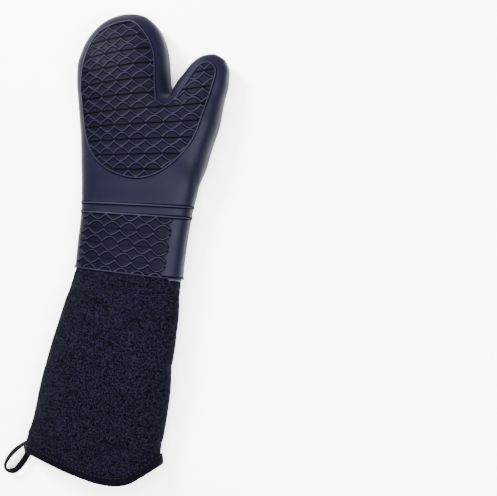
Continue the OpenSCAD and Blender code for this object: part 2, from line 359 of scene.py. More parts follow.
def grip(x, y, face):
    """Height of the moulded pattern, in shares of RELIEF, and that with its matt ground, for the finish,
    which paints shade on the ridges' flanks and a highlight on their tops.
    face is 1 where the wall lies level."""
    # the hand's lattice: lines fan out and bow from the wrist to the finger tips
    dx = x - GRIP_X
    bow = np.where(dx < BOW_END, dx ** 2, BOW_END ** 2 + BOW_SLOPE * (dx - BOW_END))
    out = np.maximum(0, dx - DROP_START)
    level = ((y + LINE_TILT * dx - LINE_BOW * bow + LINE_DROP * out)
             / (1 + FAN_TILT * dx - FAN_BOW * bow + FAN_DROP * out))
    v = (level - GRIP_Y) / GRIP_PITCH
    u = np.interp(x, GRIP_COLUMNS, np.arange(len(GRIP_COLUMNS)))
    # distances along a steep wall are longer than they look from above
    d = signed_distance(x, y, BEAD_LOOP) / np.clip(face, 0.35, 1)
    hand = lattice(u, v, GRIP_PITCH, GRIP_COLUMN, GRIP_LINES) * smooth(0.4, 1.6, d)
    bead = ridge(d, BEAD_WIDTH)
    # the wrist's lattice, under the second rib
    slope = WRIST_TILT + WRIST_FAN * (WRIST_TOP - y)
    vw = (y + slope * (x - WRIST_X) - WRIST_Y) / WRIST_PITCH
    uw = (x - WRIST_LEFT - WRIST_LEAN * (y - LEAN_Y)) / WRIST_COLUMN
    wrist = lattice(uw, vw, WRIST_PITCH, WRIST_COLUMN, WRIST_LINES) * patch(uw, vw, RIDGE_EDGES)
    face_only = smooth(0.12, 0.3, face)
    grips = np.maximum(np.maximum(hand, bead), wrist) * face_only
    # two ribs and the rim go all the way round
    ribs = 0 * x
    for level, tilt in RIBS:
        ribs = np.maximum(ribs, ridge(y - level + tilt * (x - RIB_X), RIB_WIDTH) ** 0.8)
    ribs = ribs * (RIB_ON_WALL + (1 - RIB_ON_WALL) * smooth(0, 0.5, face))
    edge = y + SEAM_TILT * (x - TILT_X) - SEAM_Y
    rim = RIM_HEIGHT * (1 - smooth(*RIM_EDGE, edge))
    # the ground between the ridges is matt
    ground = GROUND * face_only * np.maximum(smooth(0, 1.5, d), patch(uw, vw, GROUND_EDGES))
    height = np.maximum(np.maximum(grips, ribs), rim)
    # the finish is capped on the rim, so the rim is painted less pale with highlight and wear
    return height, np.minimum(np.maximum(height, ground), 1 - RIM_LIGHTENING_CAP * smooth(0.3, 0.8, rim))


# ---- mesh building

def closed(row):
    return np.concatenate([row, row[:1]])


def wrap(rows):
    """Rows that end where they begin."""
    return np.concatenate([rows, rows[:, :1]], 1)


def lengths(points):
    """Length of the line of points up to each of them."""
    return np.concatenate([[0], np.cumsum(np.linalg.norm(np.diff(points, axis=0), axis=1))])


def add_object(name, data):
    ob = bpy.data.objects.new(name, data)
    bpy.context.scene.collection.objects.link(ob)
    return ob


def unit(vectors):
    return vectors / np.linalg.norm(vectors, axis=1, keepdims=True)


# Points closer than about this, in metres, become one
MERGE = 2e-6


class Builder:
    """Collects points and faces, in millimetres, and makes them into one mesh."""

    def __init__(self):
        self.points, self.faces, self.values, self.count = [], [], [], 0
        # numbers of the blocks of faces that aren't shaded round
        self.flat = []

    def add(self, grid, value=None):
        flat = np.asarray(grid, float).reshape(-1, 3)
        self.points.append(flat)
        self.values.append(np.zeros(len(flat)) if value is None else np.asarray(value).reshape(-1))
        ids = np.arange(self.count, self.count + len(flat)).reshape(np.shape(grid)[:-1])
        self.count += len(flat)
        return ids

    def quads(self, ids, flip=False):
        a, b, c, d = ids[:-1, :-1], ids[:-1, 1:], ids[1:, 1:], ids[1:, :-1]
        q = np.stack([a, d, c, b] if flip else [a, b, c, d], -1).reshape(-1, 4)
        self.faces.append(q)

    def tube(self, rings, value=None, flip=False):
        """Rows of closed rings, with faces between them."""
        ids = self.add(rings, value)
        self.quads(wrap(ids), flip)
        return ids

    def rod(self, rings, flip=False):
        """A tube with closed ends."""
        ids = self.tube(rings, flip=flip)
        for k, turned in ((0, not flip), (-1, flip)):
            centre = self.add(rings[k].mean(0)[None])
            loop = closed(ids[k])
            fan = np.stack([loop[:-1], loop[1:], np.full(len(ids[k]), centre[0])], 1)
            self.faces.append(fan[:, ::-1] if turned else fan)

    def stitch(self, one, two, flip=False):
        """Triangles between two lines of points with different counts."""
        one, two = list(one), list(two)
        i = j = 0
        tri = []
        while i < len(one) - 1 or j < len(two) - 1:
            ahead = (i + 0.5) / max(1, len(one) - 1) <= (j + 0.5) / max(1, len(two) - 1)
            if j == len(two) - 1 or (ahead and i < len(one) - 1):
                tri.append((one[i], one[i + 1], two[j]))
                i += 1
            else:
                tri.append((one[i], two[j + 1], two[j]))
                j += 1
        tri = np.array(tri)
        self.faces.append(tri[:, ::-1] if flip else tri)
        self.flat.append(len(self.faces) - 1)

    def mesh(self, name):
        points = np.concatenate(self.points) * MM
        values = np.concatenate(self.values)
        # order says which of the points each vertex is
        key = np.round(points / MERGE).astype(np.int64)
        _, first, back = np.unique(key, axis=0, return_index=True, return_inverse=True)
        back = back.reshape(-1)
        self.order = first
        faces, rounded = [], []
        for k, block in enumerate(self.faces):
            for f in back[block]:
                g = [int(v) for n, v in enumerate(f) if v != f[n - 1]]
                if len(g) > 2 and len(set(g)) == len(g):
                    faces.append(g)
                    rounded.append(k not in self.flat)
        me = bpy.data.meshes.new(name)
        me.from_pydata(points[first].tolist(), [], faces)
        me.polygons.foreach_set("use_smooth", rounded)
        if values.any():
            me.attributes.new("relief", "FLOAT", "POINT").data.foreach_set(
                "value", values[first].astype(np.float32))
        me.update()
        return add_object(name, me)


def ring_normals(ring):
    """Normals of rows of closed rings."""
    across = np.roll(ring, -1, 1) - np.roll(ring, 1, 1)
    along = np.gradient(ring, axis=0)
    n = np.cross(across, along)
    size = np.linalg.norm(n, axis=2, keepdims=True)
    return n / np.maximum(size, 1e-9)


# ---- the silicone hand

# Spacing of points outside and inside, and the two sides' lengths that the points are shared over
STEP = 0.98
INNER_STEP = 4 * STEP
LEFT_LENGTH, RIGHT_LENGTH = 143, 84
# The plain wall lies SINK inside the CAD's outside, and the ridges stand RELIEF above it
RELIEF, SINK = 1.15, 0.45
# How far a row runs under its neighbour, and how far the skin stays off the floor
UNDER, OFF_FLOOR = 0.04, 0.02


def hand_grids(depth, step, seam):
    """The grids of one skin of the hand: palm, finger pocket and thumb pocket, front and back."""
    form = Hand(depth)
    n_rows = int(round((form.cy - seam) / step))
    levels = np.linspace(seam, form.cy, n_rows + 1)
    n_left, n_right = int(round(LEFT_LENGTH / step)), int(round(RIGHT_LENGTH / step))
    g = {"form": form}
    for side, name in ((1, "front"), (-1, "back")):
        g["left " + name], g["right " + name] = palm_rows(form, side, levels, n_left, n_right)
        g["fingers " + name] = pocket_rows(form, form.hand, side, form.cy, step, n_left)
        g["thumb " + name] = pocket_rows(form, form.thumb, side, form.cs, step, n_right)
        g["fingers " + name][0] = g["left " + name][-1]
        g["thumb " + name][0] = g["right " + name][-1]
    return g


def emboss(ring, first_normal=None):
    """Rows of closed rings with the grip pattern standing on them, its finish, which paints shade and
    highlight on the ridges, and the normals.
    """
    n = ring_normals(ring)
    if first_normal is not None:
        n[0] = first_normal
    height, finish = grip(ring[..., 0], ring[..., 1], np.abs(n[..., 2]))
    out = ring + n * (height * RELIEF - SINK)[..., None]
    out[..., 2] = np.maximum(out[..., 2], OFF_FLOOR)
    return out, finish, n


def palm_ring(g):
    lf, rf, rb, lb = (g[k] for k in ("left front", "right front", "right back", "left back"))
    return np.concatenate([lf[:, :-1], rf, rb[:, -2::-1], lb[:, -2:0:-1]], 1)


def pocket_ring(g, name):
    f, b = g[name + " front"], g[name + " back"]
    return np.concatenate([f, b[:, -2:0:-1]], 1)


def silicone_pieces():
    outer = hand_grids(0, STEP, SEAM_Y)
    inner = hand_grids(SILICONE_WALL, INNER_STEP, SEAM_Y)
    ring = palm_ring(outer)
    nl, nr = outer["left front"].shape[1] - 1, outer["right front"].shape[1] - 1
    total = 2 * (nl + nr)
    shaped, height, normal = emboss(ring)
    # the crotch is one point of the front and the back
    crotch = ring[-1, nl]
    shaped[-1, nl] = shaped[-1, total - nl] = crotch
    fingers_cols = np.r_[0:nl + 1, total - nl:total]
    thumb_cols = np.r_[nl:total - nl + 1]
    pockets, beyond, beyond_height = [], np.empty_like(shaped[-1]), np.empty_like(height[-1])
    for name, cols in (("fingers", fingers_cols), ("thumb", thumb_cols)):
        ring = pocket_ring(outer, name)
        # the pocket's ring holds the crotch once, the palm's ring twice
        once = cols[:-1] if name == "thumb" else np.r_[0:nl + 1, total - nl + 1:total]
        out, h, n = emboss(ring, normal[-1][once])
        out[0], h[0] = shaped[-1][once], height[-1][once]
        out[-1] = out[-2].mean(0) + (ring[-1, 0] - ring[-2].mean(0))
        # each piece runs on for one row, just under its neighbour, so that the light passes over the cut
        beyond[once] = out[1] - n[1] * UNDER
        beyond_height[once] = h[1]
        before = shaped[-2][once] - normal[-2][once] * UNDER
        at = nl if name == "fingers" else 0
        before[at] = (shaped[-2, nl] + shaped[-2, total - nl]) / 2
        pockets.append((name, np.concatenate([before[None], out]),
                        np.concatenate([height[-2][once][None], h])))
    beyond[[nl, total - nl]] = beyond[[nl - 1, total - nl + 1]]
    beyond_thumb = beyond[thumb_cols].copy()
    beyond_thumb[[0, -1]] = beyond_thumb[[1, -2]]

    b = Builder()
    ids = b.tube(shaped, height)
    # the two ends of the fingers' part meet at the ring's start
    halves = ((np.roll(fingers_cols, nl), np.roll(beyond[fingers_cols], nl, 0)),
              (thumb_cols, beyond_thumb))
    over = []
    for cols, row in halves:
        row_ids = b.add(row, beyond_height[cols])
        b.quads(np.stack([ids[-1][cols], row_ids]))
        over.append(row_ids)
    inner_ids = b.tube(palm_ring(inner), flip=True)
    il, ir = inner["left front"].shape[1] - 1, inner["right front"].shape[1] - 1
    it = 2 * (il + ir)
    b.stitch(closed(ids[0]), closed(inner_ids[0]), True)
    b.stitch(over[0], inner_ids[-1][np.roll(np.r_[0:il + 1, it - il:it], il)])
    b.stitch(over[1], inner_ids[-1][np.r_[il:it - il + 1]])
    pieces = [b.mesh("silicone_palm")]

    for name, out, h in pockets:
        b = Builder()
        ids = b.tube(out, h)
        inner_ids = b.tube(pocket_ring(inner, name), flip=True)
        b.stitch(closed(ids[0]), closed(inner_ids[0]), True)
        pieces.append(b.mesh("silicone_" + name))
    return pieces


# ---- the padded cuff

# The bow of the hem's edge, in the cuff's frame
HEM_BOW = (
    (-160, -222), (-125, -226), (-98, -229.5), (-82, -232.6), (-68, -236), (-54, -239.7), (-38, -243.4),
    (-21, -246.8), (-6, -249), (9, -249.3), (22, -247.3), (32, -243.5), (41, -237), (50, -229.5),
    (60, -221.5), (72, -212), (110, -184))
BOW_SMOOTHING = 8
# Where the fabric starts under the silicone, how far it stops short of the binding's fold, and how
# far it stays off the floor
CUFF_TOP, HEM_TRIM, FABRIC_FLOOR = 11.0, 0.6, 0.6
LINING_COUNTS = (96, 56)
# The cloth's frames and the most that a point may move. It is held near the silicone and the hem.
CLOTH_FRAMES, CLOTH_CAP = 20, 2.2
HOLD_TOP, HOLD_HEM = (-14, -4), (12, 26)


class Sleeve(Lobe):
    """The cuff, open at both ends."""

    def __init__(self):
        super().__init__(CUFF, CUFF_ORIGIN, CUFF_TURN)

    def ring(self, row, angle, depth):
        """Points round the sleeve. row(x) gives y in the cuff's frame, and depth is below the outside."""
        # the place along depends on the place across, so the two are found together
        x = np.full(angle.shape, -15.0)
        c, s = np.cos(angle), np.sin(angle)
        for _ in range(12):
            y = row(x)
            l, r, top, mid, floor = self.at(y)
            d = depth(y) if callable(depth) else depth
            power = np.where(s >= 0, CROWN, BELLY)
            x = (l + r) / 2 + ((r - l) / 2 - d) * np.sign(c) * np.abs(c) ** (2 / power)
        reach = np.where(s >= 0, top - mid - d, mid - floor + PRESS - d)
        z = mid + reach * np.sign(s) * np.abs(s) ** (2 / power)
        z = np.maximum(z, floor + d)
        wx, wy = self.world(x, y)
        return np.stack([wx, wy, z], -1)


SLEEVE = Sleeve()


def hem_row(inset):
    """The line that lies this far inside the hem's edge: its place along, for each place across."""
    bow = np.array(HEM_BOW, float)
    x = np.linspace(bow[0, 0], bow[-1, 0], 541)
    y = pchip(bow[:, 0], bow[:, 1], x)
    window = np.ones(2 * BOW_SMOOTHING + 1) / (2 * BOW_SMOOTHING + 1)
    slope = np.convolve(np.pad(np.gradient(y, x), BOW_SMOOTHING, "edge"), window, "valid")
    size = np.sqrt(1 + slope ** 2)
    return lambda q: np.interp(q, x - inset * slope / size, y + inset / size)


def even_angles(row, count):
    """Angles that set points about evenly round the sleeve."""
    a = np.linspace(0, 2 * np.pi, 1441)
    w = lengths(SLEEVE.ring(row, a, 0.0))
    return np.interp(np.linspace(0, w[-1], count + 1)[:-1], w, a)


def tuck(y):
    """The fabric comes out from under the silicone's rim."""
    return 0.7 + 1.1 * smooth(-9, -1.0, y)


def sleeve_rows(count, rows, depth, end_inset):
    """Rings from under the silicone to the hem, with angles that follow each ring's own length."""
    out = []
    hem = hem_row(end_inset)
    for t in np.linspace(0, 1, rows + 1):
        row = lambda x, t=t: (1 - t) * CUFF_TOP + t * hem(x)
        out.append(SLEEVE.ring(row, even_angles(row, count), depth))
    return np.array(out)


def sleeve_object(name, grid):
    """A tube from rows of rings, and which of the grid's points each of its vertices is."""
    b = Builder()
    b.tube(grid)
    return b.mesh(name), b.order


def read_points(mesh):
    co = np.empty(len(mesh.vertices) * 3)
    mesh.vertices.foreach_get("co", co)
    return co.reshape(-1, 3)


def write_points(mesh, co):
    mesh.vertices.foreach_set("co", co.reshape(-1))
    mesh.update()


def simulate(ob, frames, cap):
    """Lets the cloth shrink and swell a little, and moves each point by at most cap mm."""
    rest = read_points(ob.data)
    pin = ob.vertex_groups.new(name="pin")
    lat, along = SLEEVE.local(rest[:, 0] / MM, rest[:, 1] / MM)
    above_hem = along - hem_row(0)(lat)
    hold = np.maximum(smooth(*HOLD_TOP, along), 1 - smooth(*HOLD_HEM, above_hem))
    for i, w in enumerate(hold):
        pin.add([i], float(w), "REPLACE")
    cloth = ob.modifiers.new("cloth", "CLOTH")
    st = cloth.settings
    st.quality = 6
    st.mass = 0.25
    st.tension_stiffness = st.compression_stiffness = 12
    st.shear_stiffness = 4
    st.bending_stiffness = 1.2
    st.air_damping = 4
    st.shrink_min = st.shrink_max = -0.035
    st.vertex_group_mass = "pin"
    st.use_pressure = True
    st.uniform_pressure_force = 1.0
    st.effector_weights.gravity = 0.0
    cloth.collision_settings.use_collision = False
    cloth.point_cache.frame_start, cloth.point_cache.frame_end = 1, frames
    scene = bpy.context.scene
    for f in range(1, frames + 1):
        scene.frame_set(f)
    move = read_points(ob.evaluated_get(bpy.context.evaluated_depsgraph_get()).data) - rest
    ob.modifiers.remove(cloth)
    ob.vertex_groups.clear()
    scene.frame_set(1)
    size = np.linalg.norm(move, axis=1, keepdims=True) / MM
    move *= np.tanh(size / cap) * cap / np.maximum(size, 1e-6)
    new = rest + move * (1 - hold)[:, None]
    new[:, 2] = np.maximum(new[:, 2], FABRIC_FLOOR * MM)
    write_points(ob.data, new)


def keep_clear(ob, plain, normals):
    """Holds the fabric's creases off the lining."""
    co = read_points(ob.data)
    depth = ((co - plain * MM) * normals).sum(1, keepdims=True)
    co += normals * np.maximum(-SINK_LIMIT * MM - depth, 0)
    write_points(ob.data, co)


# Soft creases in the cuff: two ends on the plan, width, and height, which is negative in a hollow
CREASES = (
    ((-62, -40), (-30, -62), 7, -1.5), ((-66, -55), (-20, -84), 9, 1.2),
    ((40, -44), (82, -60), 8, -1.2), ((-92, -190), (-50, -214), 8, -1.3),
    ((-100, -215), (-40, -232), 10, 1.1), ((20, -150), (80, -178), 12, -1.2),
    ((-70, -120), (0, -140), 14, 1.0), ((-10, -205), (60, -222), 11, -1.1),
    ((-30, -50), (40, -70), 12, 0.9))


def crease(x, y):
    out = 0 * x
    for (ax, ay), (bx, by), width, height in CREASES:
        d = np.array([bx - ax, by - ay], float)
        t = ((x - ax) * d[0] + (y - ay) * d[1]) / (d @ d)
        off = np.hypot(x - ax - t * d[0], y - ay - t * d[1])
        fade = smooth(-0.25, 0.2, t) * (1 - smooth(0.8, 1.25, t))
        out += height * fade * ridge(off, width)
    return out


def unevenness(x, y):
    """A fixed small waviness, so that the cloth buckles softly."""
    return (np.sin(x / 11.3 + 1.1 * np.sin(y / 23.0)) * np.sin(y / 17.1 + 0.7) * 0.35
            + np.sin(x / 23.7 - y / 31.0) * 0.35)


def cuff_pieces():
    count, rows = ((128, 76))
    plain = sleeve_rows(count, rows, tuck, HEM_TRIM)
    x, y = plain[..., 0], plain[..., 1]
    _, along = SLEEVE.local(x, y)
    loose = 1 - smooth(-16, -3, along)
    n = ring_normals(plain)
    up = np.clip(n[..., 2], 0, 1)
    grid = plain + n * ((unevenness(x, y) + crease(x, y) * up) * loose)[..., None]
    grid[..., 2] = np.maximum(grid[..., 2], FABRIC_FLOOR)
    ob, order = sleeve_object("cuff_fabric", grid)
    simulate(ob, CLOTH_FRAMES, CLOTH_CAP)
    keep_clear(ob, plain.reshape(-1, 3)[order], n.reshape(-1, 3)[order])
    sub = ob.modifiers.new("round", "SUBSURF")
    sub.levels = sub.render_levels = 1
    thick = ob.modifiers.new("padding", "SOLIDIFY")
    thick.thickness = PAD * MM
    thick.offset = -1
    apply_modifiers(ob)
    b = Builder()
    a = b.tube(sleeve_rows(*LINING_COUNTS, LINING_OUT, HEM_TRIM))
    c = b.tube(sleeve_rows(*LINING_COUNTS, LINING_IN, HEM_TRIM), flip=True)
    b.quads(wrap(np.stack([a[0], c[0]])), True)
    b.quads(wrap(np.stack([a[-1], c[-1]])))
    return ob, b.mesh("cuff_lining")


def apply_modifiers(ob):
    ev = ob.evaluated_get(bpy.context.evaluated_depsgraph_get())
    me = bpy.data.meshes.new_from_object(ev)
    ob.modifiers.clear()
    old = ob.data
    ob.data = me
    bpy.data.meshes.remove(old)
    me.name = ob.name
    me.polygons.foreach_set("use_smooth", [True] * len(me.polygons))


# The binding's profile: distance in from the hem's edge, and height over the fabric
HEM_PROFILE = (
    (10.3, -0.4), (10.2, 0.35), (9.8, 0.8), (9.1, 0.85), (8.7, 0.5), (8.35, 0.28), (8.0, 0.5),
    (7.5, 0.9), (6.0, 1.05), (4.5, 1.1), (3.0, 1.1), (1.8, 1.0), (0.8, 0.9), (0.0, 0.75))
# The fold beyond the edge: its height over the fabric, its reach, and its room inside the lining
FOLD_HEIGHT, FOLD_REACH, FOLD_ROOM = 0.75, 1.5, 0.6
# Puckers round the hem, and their depth in the five profile points about the stitches
PUCKERS, PUCKER_FIRST, PUCKER_DEPTHS = 84, 3, (0.08, 0.14, 0.18, 0.14, 0.08)
# The stitches: place in from the edge, depth (negative over the fabric) and rough spacing. Each one's
# start, middle and length along its pitch, its radius, and how far it arches and sinks
STITCH_INSET, STITCH_DEPTH, STITCH_PITCH = 8.35, -0.42, 5
STITCH_START, STITCH_MIDDLE, STITCH_LENGTH, STITCH_RADIUS = 0.8, 2.4, 3.3, 0.5
STITCH_ARCH, STITCH_SINK = 0.16, 0.1
# A point inside the cuff's mouth, which the stitches face away from
MOUTH = (-15, -250, 20)


def hem_piece():
    count = 320
    base = even_angles(hem_row(4), count)
    rings = [SLEEVE.ring(hem_row(w), base, -h) for w, h in HEM_PROFILE]
    through = LINING_IN + FOLD_ROOM + FOLD_HEIGHT
    for a in np.radians([30, 60, 90, 120, 150]):
        rings.append(SLEEVE.ring(hem_row(-FOLD_REACH * np.sin(a)), base,
                                 -FOLD_HEIGHT + through * (1 - np.cos(a)) / 2))
    for w, h in HEM_PROFILE[::-1]:
        rings.append(SLEEVE.ring(hem_row(w), base, LINING_IN + 0.5 * h))
    grid = np.array(rings)
    n = ring_normals(grid)
    turn = np.sin(np.arange(count) * 2 * np.pi / count * PUCKERS)
    pull = np.zeros(len(grid))
    pull[PUCKER_FIRST:PUCKER_FIRST + len(PUCKER_DEPTHS)] = PUCKER_DEPTHS
    grid = grid - n * (pull[:, None] * turn[None, :])[..., None]
    grid[..., 2] = np.maximum(grid[..., 2], 0.1)
    b = Builder()
    b.quads(wrap(closed(b.add(grid))))
    return b.mesh("hem_tape")


def thread_rings(path, radius, side, up):
    """Eight-sided rings of thread round a path."""
    turn = np.arange(8)[:, None] * np.pi / 4
    return path[:, None] + radius * (np.cos(turn) * side + np.sin(turn) * up)


def stitch_piece():
    """The stitches in the binding's groove, all round."""
    dense = SLEEVE.ring(hem_row(STITCH_INSET), np.linspace(0, 2 * np.pi, 2881), STITCH_DEPTH)
    w = lengths(dense)
    at = lambda q: np.stack([np.interp(q, w, dense[:, k]) for k in range(3)], -1)
    number = int(w[-1] / STITCH_PITCH)
    pitch = w[-1] / number
    t = np.linspace(0, 1, 7)
    radius = STITCH_RADIUS * np.sqrt(np.clip(1 - (2 * t - 1) ** 4, 0, 1)) + 0.02
    lift = STITCH_ARCH * np.sin(np.pi * t) - STITCH_SINK
    b = Builder()
    for i in range(number):
        path = at(i * pitch + STITCH_START + STITCH_LENGTH * t)
        along = path[-1] - path[0]
        along /= np.linalg.norm(along)
        side = np.cross(along, at(i * pitch + STITCH_MIDDLE) - np.array(MOUTH))
        side /= np.linalg.norm(side)
        upward = np.cross(side, along)
        b.rod(thread_rings(path, radius[:, None, None], side, upward) + lift[:, None, None] * upward)
    return b.mesh("hem_thread")


# ---- hanging loop and its bar tack

# The tape's middle line, from inside the hem, out round the end and back
LOOP_PATH = (
    (-98.5, -240.5, 13.0), (-104.5, -243.0, 12.5), (-111.5, -248.0, 11.0), (-119.5, -254.5, 9.6),
    (-126.5, -262.5, 9.0), (-131.0, -270.5, 9.0), (-131.3, -276.8, 9.0), (-126.8, -280.3, 9.0),
    (-120.0, -279.6, 9.0), (-113.8, -274.8, 9.0), (-108.2, -267.3, 9.3), (-103.3, -259.5, 10.2),
    (-99.0, -252.5, 11.8), (-95.0, -246.5, 13.0))
TAPE_WIDTH, TAPE_WALL, TAPE_LEAN, TAPE_SIDES = 9.0, 2.4, 38, 32
GROOVE_DEPTH, GROOVE_WIDTH = 0.55, 0.22
# The bar tack: its zigzags, length, half width and thread, and its start, sinking and weave against
# the CAD's bar
TACK_TURNS, TACK_LENGTH, TACK_REACH, TACK_RADIUS = 9, 8.4, 1.1, 0.42
TACK_START, TACK_SINK, TACK_WEAVE = -2.4, 0.35, 0.25


def open_curve(points, per):
    p = np.array(points, float)
    p = np.concatenate([2 * p[:1] - p[1:2], p, 2 * p[-1:] - p[-2:-1]])
    out = []
    for i in range(1, len(p) - 2):
        out += curve_span(*p[i - 1:i + 3], per)
    out.append(p[-2])
    return np.array(out)


def loop_piece():
    path = open_curve(LOOP_PATH, 9)
    along = unit(np.gradient(path, axis=0))
    # the tape leans over, so that its outer face shows
    t = np.linspace(0, 1, len(path))
    far = 0.4 + 0.6 * smooth(0, 0.25, t) * (1 - smooth(0.75, 1, t))
    side = unit(np.cross(along, [0, 0, 1.0]))
    lean = np.radians(TAPE_LEAN) * far[:, None]
    high = np.cos(lean) * np.array([0, 0, 1.0]) - np.sin(lean) * side
    flat = np.cross(high, along)
    # a doubled tape: two layers with a groove between them at each edge
    a = np.linspace(0, 2 * np.pi, TAPE_SIDES + 1)[:-1]
    c, s = np.cos(a), np.sin(a)
    u = np.sign(c) * np.abs(c) ** 0.5 * TAPE_WALL / 2
    v = np.sign(s) * np.abs(s) ** 0.35 * TAPE_WIDTH / 2
    v -= np.sign(s) * GROOVE_DEPTH * ridge(c, GROOVE_WIDTH)
    ring = path[:, None] + u[None, :, None] * flat[:, None] + v[None, :, None] * high[:, None]
    ring[..., 2] = np.maximum(ring[..., 2], 0.4)
    b = Builder()
    b.rod(ring, flip=True)
    return b.mesh("loop_tape")


def tack_piece():
    """Close zigzag threads over the place where the loop is sewn in."""
    low, high = (np.array(c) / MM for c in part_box("loop_bar_tack"))
    mid = (low + high) / 2
    t = np.linspace(0, TACK_TURNS, TACK_TURNS * 8 + 1)
    along = mid[1] + TACK_START + TACK_LENGTH * t / TACK_TURNS
    across = mid[0] + TACK_REACH * np.cos(2 * np.pi * t) + 0.1 * (along - mid[1])
    path = np.stack([across, along, mid[2] - TACK_SINK + TACK_WEAVE * np.sin(2 * np.pi * t)], 1)
    d = unit(np.gradient(path, axis=0))
    side = unit(np.cross(d, [0, 0, 1.0]))
    up = np.cross(side, d)
    b = Builder()
    b.rod(thread_rings(path, TACK_RADIUS, side[:, None], up[:, None]))
    return b.mesh("tack_thread")


# ---- the quilted liner

def liner_pieces():
    out = []
    step = 3.2
    skins = [hand_grids(d, step, SEAM_Y - 2) for d in (LINER_OUT, LINER_IN)]
    for name in ("palm", "fingers", "thumb"):
        b = Builder()
        rings = []
        for k, g in enumerate(skins):
            ring = palm_ring(g) if name == "palm" else pocket_ring(g, name)
            ids = b.tube(ring, flip=k == 1)
            rings.append((ids, g["left front"].shape[1] - 1, ids.shape[1]))
        (a, al, at), (c, cl, ct) = rings
        b.stitch(closed(a[0]), closed(c[0]), True)
        if name == "palm":
            b.stitch(closed(a[-1][np.r_[0:al + 1, at - al:at]]), closed(c[-1][np.r_[0:cl + 1, ct - cl:ct]]))
            b.stitch(a[-1][al:at - al + 1], c[-1][cl:ct - cl + 1])
        out.append(b.mesh("liner_" + name))
    return out


# ---- materials

class Nodes:
    """A material and its node tree."""

    def __init__(self, name):
        self.m = bpy.data.materials.new(name)
        self.m.use_nodes = True
        self.t = self.m.node_tree
        self.bsdf = self.t.nodes["Principled BSDF"]
        self.coords = self.t.nodes.new("ShaderNodeTexCoord").outputs["Object"]

    def put(self, node, inputs):
        """Sets inputs to numbers or colours, or links them to other nodes' outputs."""
        for key, value in inputs.items():
            if isinstance(value, (int, float, tuple)):
                node.inputs[key].default_value = value
            else:
                self.t.links.new(value, node.inputs[key])

    def new(self, kind, inputs, **settings):
        n = self.t.nodes.new("ShaderNode" + kind)
        for key, value in settings.items():
            setattr(n, key, value)
        self.put(n, inputs)
        return n

    def mapping(self, scale, turn):
        n = self.new("Mapping", {"Scale": scale, "Rotation": (0, 0, turn), "Vector": self.coords})
        return n.outputs["Vector"]

    def noise(self, scale, detail, rough=0.5):
        inputs = {"Scale": scale, "Detail": detail, "Roughness": rough, "Vector": self.coords}
        return self.new("TexNoise", inputs).outputs["Fac"]

    def wave(self, scale, vector, distortion):
        inputs = {"Scale": scale, "Distortion": distortion, "Detail": 1.0, "Vector": vector}
        return self.new("TexWave", inputs).outputs["Fac"]

    def attribute(self, name):
        return self.new("Attribute", {}, attribute_name=name).outputs["Fac"]

    def math(self, operation, a, b):
        return self.new("Math", {0: a, 1: b}, operation=operation).outputs[0]

    def ramp(self, fac, stops):
        n = self.new("ValToRGB", {"Fac": fac})
        e = n.color_ramp.elements
        for i, (place, color) in enumerate(stops):
            stop = e[i] if i < 2 else e.new(place)
            stop.position = place
            stop.color = (*color, 1)
        return n.outputs["Color"]

    def mix(self, fac, a, b, kind="MIX"):
        inputs = {0: fac, 6: a, 7: b}
        return self.new("Mix", inputs, data_type="RGBA", blend_type=kind).outputs[2]

    def grey(self, color):
        return self.new("RGBToBW", {"Color": color}).outputs["Val"]

    def range(self, fac, low, high):
        n = self.new("MapRange", {"To Min": low, "To Max": high, "Value": fac})
        return n.outputs["Result"]

    def bump(self, height, distance, strength, normal=None):
        inputs = {"Distance": distance, "Strength": strength, "Height": height}
        if normal is not None:
            inputs["Normal"] = normal
        return self.new("Bump", inputs).outputs["Normal"]

    def finish(self, color, rough, normal, **others):
        self.put(self.bsdf, {"Base Color": color, "Roughness": rough, "Normal": normal})
        self.put(self.bsdf, {key.replace("_", " "): value for key, value in others.items()})
        return self.m


def silicone_material():
    k = Nodes("silicone")
    blotch = k.noise(14, 3)
    color = k.ramp(blotch, ((0.3, (0.0012, 0.0011, 0.0036)), (0.72, (0.0020, 0.0018, 0.0054))))
    # painted shade: the ridges' flanks are darkened in colour and gloss as if in shade, and the matt ground a
    # little
    relief = k.attribute("relief")
    shade = k.ramp(relief, ((0.0, (1.0, 1.0, 1.0)), (0.1, (0.52, 0.52, 0.52)), (0.24, (0.02, 0.02, 0.02)),
                            (0.5, (0.22, 0.22, 0.22)), (0.74, (1.0, 1.0, 1.0))))
    color = k.mix(1.0, color, shade, "MULTIPLY")
    # painted highlight and wear: the ridges' tops are painted paler, partly rubbed wear and partly a
    # highlight where light catches them
    rubbed_and_lit = k.math("MAXIMUM", k.range(relief, -2.2, 1.2), 0.0)
    worn_and_highlit = k.math("MULTIPLY", rubbed_and_lit, k.range(k.noise(120, 2), 0.3, 0.9))
    color = k.mix(worn_and_highlit, color, (0.0095, 0.0100, 0.0210, 1))
    specks = k.ramp(k.noise(700, 1), ((0.62, (0, 0, 0)), (0.78, (0.3, 0.3, 0.3))))
    color = k.mix(specks, color, (0.0055, 0.006, 0.013, 1))
    rough = k.math("ADD", k.range(k.noise(60, 3), 0.40, 0.52), k.math("MULTIPLY", worn_and_highlit, -0.06))
    grain = k.bump(k.noise(1400, 2, rough=0.6), 0.00012, 0.55)
    normal = k.bump(k.noise(45, 2), 0.0006, 0.25, grain)
    gloss = k.math("MULTIPLY", k.grey(shade), 0.042)
    return k.finish(color, rough, normal, Specular_IOR_Level=gloss, Specular_Tint=(0.8, 0.8, 1.0, 1),
                    Sheen_Weight=0.002, Sheen_Roughness=0.5)


